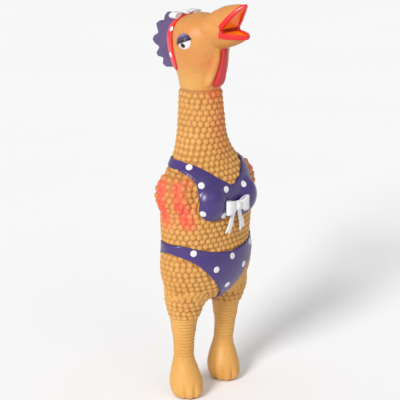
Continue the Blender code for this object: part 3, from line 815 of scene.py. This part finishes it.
def skin_shape():
    """The smooth skin, before its nubs: points and faces."""
    torso = [turned(dense_sections(TRUNK, 2.0, 108, 285))]
    torso += [turned(dense_sections(THIGH, 2.0), side * LEG_X) for side in (-1, 1)]
    points, faces = fuse(torso, 2.2)
    crotch = ease(points[:, 2], 94, 104) * (1 - ease(points[:, 2], 126, 142))
    points = relax(points, faces, 26, crotch)
    torso_shape = (relax(points, faces, 4, hold=True), faces)
    shapes = [torso_shape, turned(dense_sections(TRUNK, 1.5, 262, 415.5)), muzzle()]
    shapes += [beak_body(UPPER_BEAK, MOUTH_SAG["upper"]), beak_body(LOWER_BEAK, MOUTH_SAG["lower"])]
    shapes += wattle_folds()
    for side in (-1, 1):
        (x, y, z), radii = WING
        shapes.append(ellipsoid((side * x, y, z), radii))
        rings = [toed(section, side * LEG_X) for section in dense_sections(SHANK, 1.0)]
        shapes.append(loft(rings))
    points, faces = fuse(shapes, SKIN_VOXEL)
    x, y, z = points.T
    throat = ease(z, 336, 344) * ease(z, 392, 380) * ease(y, -4, -12)
    throat = throat * ease(np.abs(x), 22, 14)
    points = relax(points, faces, 24, throat)
    far_foot = ease(x, 2, 8) * ease(z, 78, 14)
    for axis, shift in enumerate(FAR_FOOT_SHIFT):
        points[:, axis] += shift * far_foot
    return relax(points, faces, 6, hold=True), faces, torso_shape


def nub_relief(points, faces):
    """How far each point of the skin rises in a nub, from 0 to 1, and where nubs grow at all."""
    rows = [nub_rows(TRUNK, 112, 337)]
    rows += [nub_rows(THIGH, 95, 126, side * LEG_X) for side in (-1, 1)]
    tree = tree_of((points, faces))
    found = []
    for centre in np.concatenate(rows):
        place, _, _, gone = tree.find_nearest(Vector(centre))
        if gone < 6.5:
            found.append(np.array(place))
    found = np.array(found)
    found = found[~covered(found)]
    squeaker = np.hypot(found[:, 0], found[:, 2] - SQUEAKER_Z) < 12.5
    found = found[~(squeaker & (found[:, 1] > 0))]
    kept_places = []
    for centre in found:
        near = [place for place in kept_places[-140:] if np.linalg.norm(place - centre) < NUB_PITCH * 0.66]
        if not near:
            kept_places.append(centre)
    kept = KDTree(len(kept_places))
    for k, centre in enumerate(kept_places):
        kept.insert(Vector(centre), k)
    kept.balance()
    gone = np.array([kept.find(Vector(point))[2] for point in points])
    rise = np.sqrt(np.clip(1 - (gone / NUB_RADIUS) ** 2, 0, 1))
    zone = ease(points[:, 2], 91.5, 94.5) * (1 - ease(points[:, 2], 337, 340))
    near = ease(gone, 8, 5)
    bare = covered(points)
    rise = np.where(bare, 0, rise) * zone
    return rise, np.where(bare, 0, zone * near)


def shank_rings(points, normals):
    """Shallow grooves across the fronts of the shanks, from 0 to 1."""
    wave = np.cos(2 * np.pi * (points[:, 2] - 48) / 3.8)
    zone = ease(points[:, 2], 46, 49) * (1 - ease(points[:, 2], 89, 92))
    facing = ease(-normals[:, 1], 0.0, 0.65)
    return np.clip(wave - 0.35, 0, 1) / 0.65 * zone * facing


def wing_folds(points):
    """The grooves between the long feathers of the wing pads."""
    y = WING[0][1]
    share = ease(np.abs(points[:, 0]), 50, 57) * ease(points[:, 2], 262, 248)
    wave = np.cos(2 * np.pi * (points[:, 1] - y) / 15.0)
    return np.clip(wave, 0, 1) ** 2 * share * ease(points[:, 2], 206, 220) * ease(points[:, 2], 252, 236)


def skin_tints(points, rise, zone, grooves):
    x, y, z = points.T
    # Painted shade: darkest in the hollows between the nubs, and in the grooves of the shanks.
    crevice_shade = zone * (1 - rise) ** 1.3
    crevice_shade = np.maximum(crevice_shade, grooves * 0.55)
    # The same dark tone is also laid evenly over the top of the neck and the head.
    crevice_shade = np.maximum(crevice_shade, 0.3 * ease(z, 346, 374))
    blush = 0.28 * ease(z, 344, 370)
    for side in (-1, 1):
        blush = np.maximum(blush, 0.62 * bump(points, (side * 14, -16, 368), (10, 12, 14)))
    blush = np.maximum(blush, bump(points, (0, -16, 336), (14, 14, 12)))
    blush = np.maximum(blush, 0.6 * bump(points, (8, -18, 308), (18, 16, 32)))
    fall = 240 - z
    rear = np.exp(-(((y - 9 + 0.1 * fall) / 9.5) ** 2))
    fore = np.exp(-(((y + 13 + 0.16 * fall) / 6.5) ** 2))
    paint = np.maximum(rear, fore) * ease(np.abs(x), 36, 46)
    paint = paint * ease(z, 190, 208) * ease(z, 256, 244)
    return {
        "crevice_shade": crevice_shade,
        "blush": blush,
        "paint": paint,
        "sole": ease(z, 2.2, 1.0) * (1 - 0.7 * ease(z, 0.6, 0.2)),
    }


def split_skin(points, faces, masks):
    """Each piece's own points and faces, by a mask of faces."""
    for name, mask in masks.items():
        chosen = faces[mask]
        used = np.unique(chosen)
        index = np.full(len(points), -1)
        index[used] = np.arange(len(used))
        yield name, used, index[chosen]


def skin_masks(middle):
    """Which faces each piece of the skin has, from the faces' middles."""
    x, y, z = middle.T
    right = x < 0
    share, half = trunk_radius(middle)
    wing = ((share - 1) * half > 0.6) & (np.abs(x) > 40) & (z > 200) & (z < 262)
    torso = (z >= KNEE_CUT) & (z < NECK_CUTS[0])
    jaw = (y < JAW_BLEND[0][1] + 2) & (z < 401.8) & (z > 378)
    masks = {}
    for side, word in ((right, "right"), (~right, "left")):
        masks[f"{word}_foot_skin"] = (z < ANKLE_CUT) & side
        masks[f"{word}_leg_skin"] = (z >= ANKLE_CUT) & (z < KNEE_CUT) & side
        masks[f"{word}_torso_skin"] = torso & ~wing & side
        masks[f"{word}_wing_pad"] = torso & wing & side
    for k, name in enumerate(("lower_neck_skin", "upper_neck_skin", "nape_skin")):
        masks[name] = (z >= NECK_CUTS[k]) & (z < NECK_CUTS[k + 1])
    masks["head_skin"] = (z >= NECK_CUTS[-1]) & ~jaw
    masks["lower_beak_skin"] = jaw
    return masks


def make_skin():
    points, faces, torso_shape = skin_shape()
    smooth = points
    normals = normals_of(points, faces)
    rise, zone = nub_relief(points, faces)
    grooves = shank_rings(points, normals)
    feathers = wing_folds(points)
    ring = np.hypot(points[:, 0], points[:, 2] - SQUEAKER_Z)
    lip = np.exp(-(((ring - 9.6) / 0.9) ** 2)) * (points[:, 1] > 20)
    height = NUB_HEIGHT * (rise - 0.45 * zone) - 0.8 * grooves - 0.9 * feathers + 0.7 * lip
    points = points + normals * height[:, None]
    normals = normals_of(points, faces)
    tints = skin_tints(smooth, rise, zone, grooves)
    made = {}
    for name, used, its_faces in split_skin(points, faces, skin_masks(smooth[faces].mean(axis=1))):
        its_tints = {key: values[used] for key, values in tints.items()}
        made[name] = emit(name, points[used], its_faces, SKIN, normals[used], its_tints)
    attach_skin(made)
    return torso_shape


def attach_skin(made):
    """Bakes each part of the skin where it stands, attaches the head skin to the head, and hides the CAD
    nodes they stand in for.
    """
    for side, word in ((-1, "right"), (1, "left")):
        for part in ("torso_skin", "wing_pad"):
            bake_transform(made[f"{word}_{part}"])
        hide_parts(f"{word}_flank")
        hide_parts(f"{word}_wing")
        leg = made[f"{word}_leg_skin"]
        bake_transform(leg)
        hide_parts(f"{word}_shank")
        foot = made[f"{word}_foot_skin"]
        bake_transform(foot)
        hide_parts(f"{word}_foot")
    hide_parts("torso_shell")
    neck = made["lower_neck_skin"]
    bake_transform(neck)
    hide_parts("neck_lower")
    neck = made["upper_neck_skin"]
    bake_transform(neck)
    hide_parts("neck_upper")
    nape = made["nape_skin"]
    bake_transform(nape)
    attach(made["head_skin"], "head")
    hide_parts("head_shell", "upper_beak")
    beak = made["lower_beak_skin"]
    at(*JAW_BLEND[0])
    at(*JAW_BLEND[1])
    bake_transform(beak)
    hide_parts("lower_beak")


# Beak rims and linings


def rim(sections, first):
    """The raised lip round the edge of half a beak, from its first row at the corners of the mouth."""
    rows = dense_rows(sections, 48)[first:]
    strips = []
    for mirror in (False, True):
        rings = []
        for row in rows:
            y, z, half_width, apex_y, apex_z = row
            reach = math.hypot(apex_y - y, apex_z - z)
            edge = min(RIM_WIDTH / math.hypot(half_width * 0.35, reach), 1.35)
            turns = np.linspace(0, edge, 7)
            turns = np.pi - turns if mirror else turns
            outer = beak_arc(row, turns, -RIM_PROUD)
            inner = beak_arc(row, turns[::-1], LIP)
            rings.append(np.concatenate([outer, inner]))
        strips.append(loft(rings))
    tip = rows[-5:]
    cap = [beak_arc(row, np.linspace(0, np.pi, 13), -RIM_PROUD) for row in tip]
    strips.append(loft(cap))
    corner = np.linspace((-15.5, -31.6, 401.8), (15.5, -31.6, 401.8), 12)
    strips.append(tube(corner, np.full(12, 1.3)))
    points, faces = fuse(strips, 0.45)
    return relax(points, faces, 5), faces


def lining(sections, sag_span):
    """The smooth inside of half a beak, a sheet that sags towards its outside."""
    rings = []
    for k, row in enumerate(dense_rows(sections, 40)[:-5]):
        y, z, half_width, apex_y, apex_z = row
        width = max(half_width - LIP - 0.1, 0.5)
        turns = np.linspace(0, np.pi, 21)
        sag = 0.02 + 0.3 * (0.3 + 0.7 * np.sin(turns)) * ease(k / 39, *sag_span)
        across = width * np.cos(turns)
        near = np.stack([across, y + (apex_y - y) * sag, z + (apex_z - z) * sag], axis=1)
        away = np.array([0, apex_y - y, apex_z - z])
        away = away / np.linalg.norm(away) * 1.5
        rings.append(np.concatenate([near, (near + away)[::-1]]))
    points, faces = fuse([loft(rings)], 0.5)
    return relax(points, faces, 5, hold=True), faces


def make_beak():
    for word, sections, first in (("upper", UPPER_BEAK, 0), ("lower", LOWER_BEAK, 8)):
        lips = emit(f"{word}_beak_lip", *rim(sections, first), RED)
        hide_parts(f"{word}_beak_rim")
        inner = emit(f"{word}_mouth_skin", *lining(sections, MOUTH_SAG[word]), ORANGE)
        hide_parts(f"{word}_mouth_lining")
        for piece in (lips, inner):
            if word == "upper":
                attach(piece, "head")
            else:
                at(*JAW_BLEND[0])
                at(*JAW_BLEND[1])
                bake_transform(piece)


# Raised clothing


def boolean(shape, tool):
    """The part of a shape inside the tool: its points, triangles, and 1 where the tool made one."""
    target = new_object("target", *shape)
    other = new_object("tool", *tool)
    for made, kind in ((target, 0), (other, 1)):
        face_outwards(made)
        for name in ("kept", "cut"):
            made.data.materials.append(bpy.data.materials.get(name) or bpy.data.materials.new(name))
        made.data.polygons.foreach_set("material_index", [kind] * len(made.data.polygons))
    modifier = target.modifiers.new("within", "BOOLEAN")
    modifier.operation = "INTERSECT"
    modifier.solver = "EXACT"
    modifier.object = other
    found = take_mesh(target)
    bpy.data.objects.remove(other, do_unlink=True)
    return found


def cut_region(shape, tools):
    """The parts of a shape's surface inside the tools, as a mesh that can be edited."""
    parts = []
    for tool in tools:
        points, faces, kinds = boolean(shape, tool)
        parts.append((points, faces[kinds == 0]))
    points, faces = gather(parts)
    faces = np.array(faces)
    used, index = np.unique(faces, return_inverse=True)
    points = points[used]
    faces = index.reshape(-1, 3)
    made = new_object("sheet", points, faces)
    edit = bmesh.new()
    edit.from_mesh(made.data)
    bmesh.ops.remove_doubles(edit, verts=edit.verts, dist=0.05)
    bpy.data.objects.remove(made, do_unlink=True)
    return edit


def wrap(shape, tools, thick, edge=1.4):
    """A sheet laid on the parts of a shape inside the tools, whose top thins out at its edges."""
    edit = cut_region(shape, tools)
    border = [e for e in edit.edges if len(e.link_faces) == 1]
    tree = KDTree(len(border))
    for k, e in enumerate(border):
        tree.insert((e.verts[0].co + e.verts[1].co) / 2, k)
    tree.balance()
    edit.normal_update()
    tops = {}
    for vertex in edit.verts:
        gone = tree.find(vertex.co)[2]
        on_border = any(len(e.link_faces) == 1 for e in vertex.link_edges)
        share = 0.0 if on_border else min(1.0, gone / edge)
        lift = thick * (0.3 + 0.7 * math.sqrt(1 - (1 - share) ** 2))
        tops[vertex] = vertex.co + vertex.normal * lift
    edit.verts.index_update()
    low = [vertex.co - vertex.normal * 0.7 for vertex in edit.verts]
    high = [tops[vertex] for vertex in edit.verts]
    top_faces = [[v.index for v in face.verts] for face in edit.faces]
    sides = []
    for e in edit.edges:
        if len(e.link_faces) != 1:
            continue
        a, b = (loop.vert.index for loop in (e.link_loops[0], e.link_loops[0].link_loop_next))
        sides.append((b, a, a + len(low), b + len(low)))
    edit.free()
    count = len(low)
    all_faces = [tuple(face[::-1]) for face in top_faces]
    all_faces += [tuple(i + count for i in face) for face in top_faces]
    all_faces += sides
    return np.array([*low, *high]), all_faces


def disc(tree, centre, radius, proud=0.35):
    """A low round dot on the nearest place of a surface: rings of points dropped onto it."""
    place, normal, _, _ = tree.find_nearest(Vector(centre))
    side = normal.cross(Vector((0.02, 0.1, 1))).normalized()
    up = side.cross(normal).normalized()
    rings = 7
    around = 36
    tops = []
    for k in range(1, rings + 1):
        share = k / rings
        lift = proud * math.sqrt(max(0.0, 1 - share**6)) + (0.0 if k < rings else -0.5)
        for i in range(around):
            turn = 2 * math.pi * i / around
            offset = side * math.cos(turn) * radius * share + up * math.sin(turn) * radius * share
            start = place + offset + normal * 6
            hit = tree.ray_cast(start, -normal)[0]
            if hit is None:
                hit = tree.find_nearest(place + offset)[0]
            tops.append(hit + normal * lift)
    points = [place + normal * proud, *tops]
    faces = [(0, 1 + i, 1 + (i + 1) % around) for i in range(around)]
    for k in range(rings - 1):
        for i in range(around):
            a = 1 + k * around + i
            b = 1 + k * around + (i + 1) % around
            faces.append((a, a + around, b + around, b))
    return np.array(points), faces


def make_clothes(torso_shape):
    (x, y, z), radii = CUP
    cups = [ellipsoid((side * x, y, z + CLOTHES_TILT * side * x), radii) for side in (-1, 1)]
    points, faces = fuse([torso_shape, *cups], 1.2)
    weight = 1 - 0.9 * (points[:, 2] < 190)
    points = relax(points, faces, 14, weight)
    base = (points, faces)
    front = prism(TOP, -80, FRONT_END, axis=1)
    strap, strap_faces = prism(STRAP_OUTLINE, -81, 81)
    strap[:, 2] += CLOTHES_TILT * strap[:, 0]
    top = wrap(base, [front, (strap, strap_faces)], CLOTH)
    top_piece = emit("swim_top", *top, PURPLE)
    fit(top_piece, "torso", "bikini_top")
    briefs = wrap(base, [prism(BRIEFS, -80, 80, axis=1)], CLOTH)
    briefs_piece = emit("swim_briefs", *briefs, PURPLE)
    fit(briefs_piece, "torso", "bikini_bottom")
    add_dots("swim_top_dots", top, TOP_DOTS)
    add_dots("swim_briefs_dots", briefs, BRIEFS_DOTS)


def outer_place(tree, turn, height):
    """Where a level line from outside towards the trunk's middle first meets a sheet."""
    table = np.array(TRUNK, float)
    middle = Vector((0, float(curve(table[:, 0], table[:, 4], height)), height))
    out = Vector((math.sin(math.radians(turn)), -math.cos(math.radians(turn)), 0))
    return tree.ray_cast(middle + out * 200, -out)[0]


def add_dots(name, sheet, places, radius=DOT_RADIUS, body="torso"):
    tree = tree_of(sheet)
    shapes = [disc(tree, outer_place(tree, turn, height), radius) for turn, height in places]
    piece = emit(name, *gather(shapes), WHITE)
    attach(piece, body)


def box(low, high):
    outline = [(low[1], low[2]), (high[1], low[2]), (high[1], high[2]), (low[1], high[2])]
    return prism(outline, low[0], high[0])


def make_headband():
    shapes = [turned(dense_sections(TRUNK, 1.5, 335, 415.5)), muzzle()]
    points, faces = fuse(shapes, 1.1)
    base = (relax(points, faces, 6, hold=True), faces)
    (y_top, z_top), (y_low, z_low), half = BAND
    outline = [(y_top - half, z_top + 14), (y_top + half, z_top + 14)]
    outline += [(y_low + half, z_low + 5), (y_low + 0.6 * half, z_low)]
    outline += [(y_low - 0.6 * half, z_low), (y_low - half, z_low + 5)]
    band = wrap(base, [prism(outline, -60, 60)], 1.5)
    piece = emit("head_band", *band, RED)
    fit(piece, "head", "headband")
    add_dots("head_band_dots", band, BAND_DOTS, 3.0, "head")


# Comb, wattle, eyes and bows


def plate(outline, half, voxel=0.7, rounds=10):
    """A soft plate with rounded edges, cut to an outline."""
    points, faces = fuse([prism(outline, -half, half, step=1.5)], voxel)
    return relax(points, faces, rounds), faces


def make_comb_and_wattle():
    raised = [(y, z + COMB_RISE) for y, z in COMB_PROFILE]
    comb = emit("head_comb", *plate(raised, COMB_HALF), COMB)
    fit(comb, "head", "comb")
    points, faces = plate(rounded(WATTLE_PROFILE, 2), WATTLE_HALF, rounds=30)
    points[:, 0] *= 1 - 0.38 * ease(points[:, 2], 348, 382)
    points[:, 1] += 1.5
    lobe = emit("chin_wattle", points, faces, WATTLE)
    fit(lobe, "head", "wattle")


def cut_flat(shape, point, normal):
    """Keeps what lies behind a plane and closes the cut."""
    made = new_object("cut", *shape)
    edit = bmesh.new()
    edit.from_mesh(made.data)
    everything = [*edit.verts, *edit.edges, *edit.faces]
    result = bmesh.ops.bisect_plane(
        edit, geom=everything, plane_co=point, plane_no=normal, clear_outer=True
    )
    rim_edges = [item for item in result["geom_cut"] if isinstance(item, bmesh.types.BMEdge)]
    bmesh.ops.edgeloop_fill(edit, edges=rim_edges)
    edit.to_mesh(made.data)
    edit.free()
    points = np.array([v.co for v in made.data.vertices])
    faces = [tuple(polygon.vertices) for polygon in made.data.polygons]
    bpy.data.objects.remove(made, do_unlink=True)
    return points, faces


def make_eyes():
    (x, y, z), radii = EYE
    radii = np.array(radii)
    (back_y, back_z), (front_y, front_z) = LASH_LINE
    along = Vector((0, front_y - back_y, front_z - back_z)).normalized()
    up = Vector((0, along.z, -along.y))
    up = -up if up.z < 0 else up
    for side, word in ((-1, "right"), (1, "left")):
        centre = (side * x, y, z)
        ball = emit(f"{word}_eye", *ellipsoid(centre, radii), EYE_WHITE)
        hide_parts(f"{word}_eyeball")
        edge_point = Vector((side * x, back_y, back_z))
        lid_shape = cut_flat(ellipsoid(centre, radii + LID_PROUD), edge_point, -up)
        rise = (lid_shape[0] - np.array(edge_point)) @ np.array(up)
        # The painted highlight on the lid grows with height above the lash line.
        lid = emit(f"{word}_lid", *lid_shape, LID, tints={"lid_highlight": ease(rise, 3.2, 7.5)})
        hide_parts(f"{word}_eyelid")
        lash = emit(f"{word}_lash", *lash_strand(side, centre, radii, edge_point, along), BLACK)
        spot_shape = disc(tree_of(ellipsoid(centre, radii)), (side * 34, *PUPIL[0]), PUPIL[1], 0.3)
        spot = emit(f"{word}_pupil_spot", *spot_shape, BLACK)
        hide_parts(f"{word}_pupil")
        for piece in (ball, lid, lash, spot):
            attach(piece, "head")


def lash_strand(side, centre, radii, edge_point, along):
    """The dark line along the edge of the lid, with a short flick at its back end."""
    grown = radii + LID_PROUD * 0.8
    path = []
    for share in np.linspace(-1.0, 1.0, 41):
        place = edge_point + along * ((share + 1) * 0.5 * 26 - 3.5)
        dy = (place.y - centre[1]) / grown[1]
        dz = (place.z - centre[2]) / grown[2]
        left = 1 - dy * dy - dz * dz
        if left <= 0.02:
            continue
        path.append((centre[0] + side * grown[0] * math.sqrt(left), place.y, place.z))
    radii_along = 0.75 + 0.5 * np.sin(np.linspace(0.3, np.pi - 0.5, len(path)))
    start = Vector(path[0])
    flick = [start, start + Vector((side * 0.8, 0.6, -1.8)), start + Vector((side * 0.7, 1.0, -3.6))]
    strands = [tube(path, radii_along), tube([tuple(p) for p in flick], (0.8, 0.7, 0.3))]
    points, faces = fuse(strands, 0.3)
    return relax(points, faces, 2), faces


def ribbon_loop(side, centre, length, depth, narrow, wide, across, filled):
    """A ribbon folded into a loop. across is the axis along the ribbon's width: 1 for y, 2 for z."""
    thick = 0.75
    rings = []
    turns = np.linspace(0, 2 * np.pi, 64, endpoint=False)
    for turn in turns:
        reach = (1 - math.cos(turn)) / 2
        swing = math.sin(turn) * depth * (0.35 + 0.65 * math.sqrt(reach))
        inward = np.array([math.cos(turn), -math.sin(turn)])
        half = narrow + (wide - narrow) * ease(reach, 0, 0.9)
        ring = []
        for layer, edge in ((-1, -1), (1, -1), (1, 1), (-1, 1)):
            u = 2.5 + reach * length + layer * thick * inward[0]
            v = swing + layer * thick * inward[1]
            w = edge * half
            offset = (side * u, w, v) if across == 1 else (side * u, v, w)
            ring.append(np.add(centre, offset))
        rings.append(ring)
    rings.append(rings[0])
    points, faces = loft(rings)
    shapes = [(points, faces[:-2])]
    if filled:
        middle = np.add(centre, (side * (2.5 + 0.62 * length), 0, 0))
        shapes.append(ellipsoid(middle, (0.42 * length, 0.92 * wide, 0.95 * depth)))
    points, faces = fuse(shapes, 0.5)
    return relax(points, faces, 5), faces


def knot(centre, half):
    """The short wrap at the middle of a bow."""
    middle = ellipsoid(centre, np.array(half) * 1.25)
    points, faces = fuse([middle, box(np.subtract(centre, half), np.add(centre, half))], 0.5)
    return relax(points, faces, 10), faces


def make_bow(prefix, centre, length, depth, narrow, wide, across, half_knot, body, filled):
    for side, word in ((-1, "right"), (1, "left")):
        shape = ribbon_loop(side, centre, length, depth, narrow, wide, across, filled)
        piece = emit(f"{prefix}_ribbon_{word}", *shape, WHITE)
        fit(piece, body, f"{prefix}_loop_{word}")
    piece = emit(f"{prefix}_tie", *knot(centre, half_knot), WHITE)
    fit(piece, body, f"{prefix}_knot")


def make_tails():
    x, y, z = CHEST_BOW
    for side, word in ((-1, "right"), (1, "left")):
        outline = [
            (x + side * 0.4, z - 3.6),
            (x + side * 5.6, z - 3.6),
            (x + side * 15.4, z - 28.6),
            (x + side * 11.4, z - 27),
            (x + side * 8.8, z - 31.8),
        ]
        points, faces = fuse([prism(outline, y + 0.6, y + 2.4, axis=1, step=1.0)], 0.45)
        points = relax(points, faces, 3)
        drop = z - points[:, 2]
        points[:, 1] += 2.6 * ease(drop, 2, 30) + 0.8 * np.sin(drop / 4.5) * ease(drop, 4, 14)
        piece = emit(f"chest_bow_end_{word}", points, faces, WHITE)
        fit(piece, "torso", f"chest_bow_tail_{word}")


# Studio


def make_studio():
    corners = [(x * FLOOR_HALF, y * FLOOR_HALF, 0) for x, y in ((-1, -1), (1, -1), (1, 1), (-1, 1))]
    floor = new_object("studio_floor", corners, [(0, 1, 2, 3)])
    floor.data.materials.append(floor_material())
    floor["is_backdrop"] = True
    world = bpy.data.worlds.new("studio")
    world.use_nodes = True
    background = world.node_tree.nodes["Background"]
    background.inputs["Color"].default_value = (1, 1, 1, 1)
    background.inputs["Strength"].default_value = SKY_STRENGTH
    bpy.context.scene.world = world
    bpy.context.scene.view_settings.view_transform = "Standard"
    for name, setting in SUNS.items():
        sun(name, *setting)


def floor_material():
    shader = Shader("studio_floor", 0.9)
    tone = shader.mix(shader.noise(3.0), linear(252, 252, 252), linear(248, 248, 249))
    return shader.finish(tone, 40.0, 0.01)


def sun(name, towards, strength, spread):
    lamp = bpy.data.lights.new(name, "SUN")
    lamp.energy = strength
    lamp.angle = math.radians(spread)
    made = bpy.data.objects.new(name, lamp)
    made.rotation_euler = Vector(towards).to_track_quat("Z", "Y").to_euler()
    bpy.context.scene.collection.objects.link(made)


def make_camera():
    turn = math.radians(CAMERA_TURN)
    rise = math.radians(CAMERA_RISE)
    back = Vector((math.sin(turn) * math.cos(rise), -math.cos(turn) * math.cos(rise), math.sin(rise)))
    lens = bpy.data.cameras.new("camera")
    lens.lens = CAMERA_LENS
    camera = bpy.data.objects.new("camera", lens)
    camera.location = Vector(CAMERA_TARGET) + back * CAMERA_DISTANCE
    camera.rotation_euler = (-back).to_track_quat("-Z", "Y").to_euler()
    bpy.context.scene.collection.objects.link(camera)
    bpy.context.scene.camera = camera


def finish_kept_nodes():
    """The squeaker's own CAD pieces stay, in moulded plastic."""
    for name in ("squeaker_housing", "squeaker_reed_frame", "squeaker_reed"):
        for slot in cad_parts[name].material_slots:
            slot.material = PLASTIC


make_camera()
make_studio()
torso_shape = make_skin()
make_beak()
make_clothes(torso_shape)
make_headband()
make_comb_and_wattle()
make_eyes()
make_bow("head_bow", HEAD_BOW, 17.5, 3.6, 3.6, 4.6, 1, (3, 4.2, 3.4), "head", True)
make_bow("chest_bow", CHEST_BOW, 14.5, 2.6, 5.2, 7.8, 2, (3, 3.0, 4.4), "torso", False)
make_tails()
finish_kept_nodes()

shown_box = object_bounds()
boxes = {"cad": cad_box, "visual": shown_box}
rows = {name: [list(corner) for corner in pair] for name, pair in boxes.items()}
